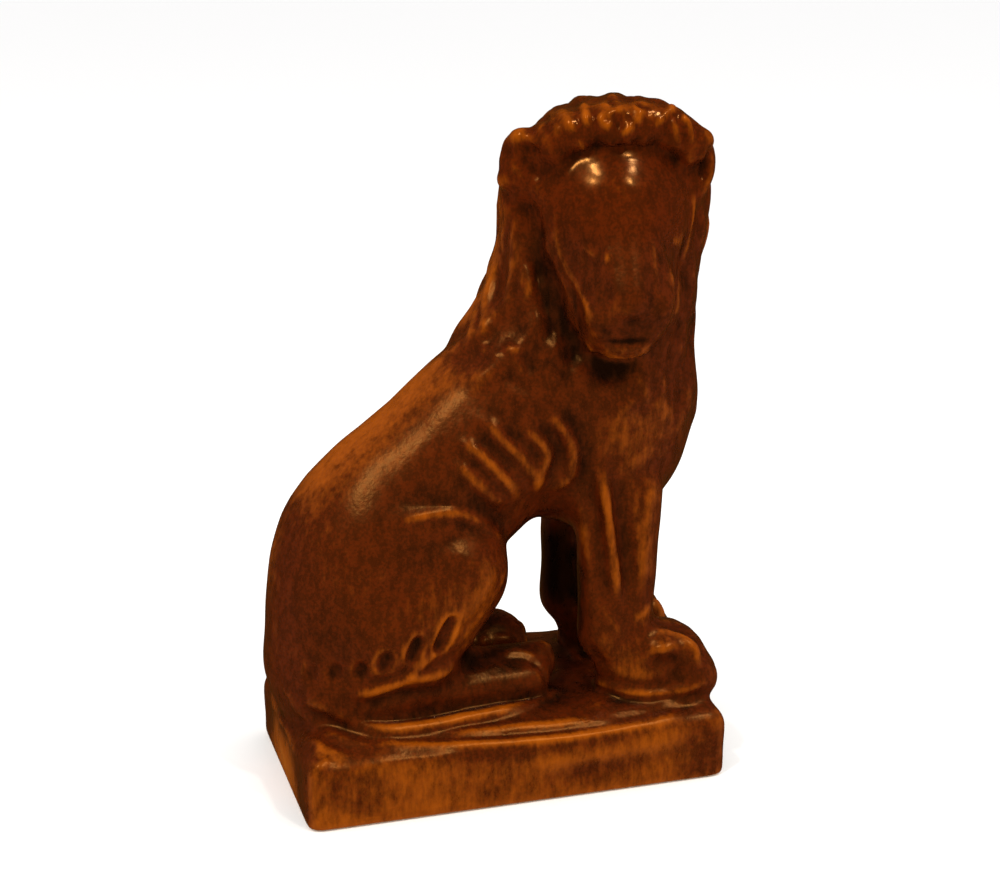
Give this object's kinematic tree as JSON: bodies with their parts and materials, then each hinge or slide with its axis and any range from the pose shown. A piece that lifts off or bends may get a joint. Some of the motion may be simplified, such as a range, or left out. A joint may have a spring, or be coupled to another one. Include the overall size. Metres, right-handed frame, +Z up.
{
  "type": "figurine bookend",
  "caption": "Glazed pottery bookend: a lion with a full mane sits upright on a low rectangular plinth, its head turned to its right.",
  "frame": {"origin": "middle of the plinth's flat underside, on the surface it stands on", "axes": "+X the way the lion's body faces, along the plinth; +Y the lion's left side; +Z up"},
  "size_m": [0.1191, 0.0706, 0.1776],
  "materials": {
    "glaze": "satin brown glaze, breaking to light orange on raised edges and pooling dark brown in hollows"
  },
  "bodies": {
    "root": {"lion_bookend": "glaze"}
  },
  "joints": []
}
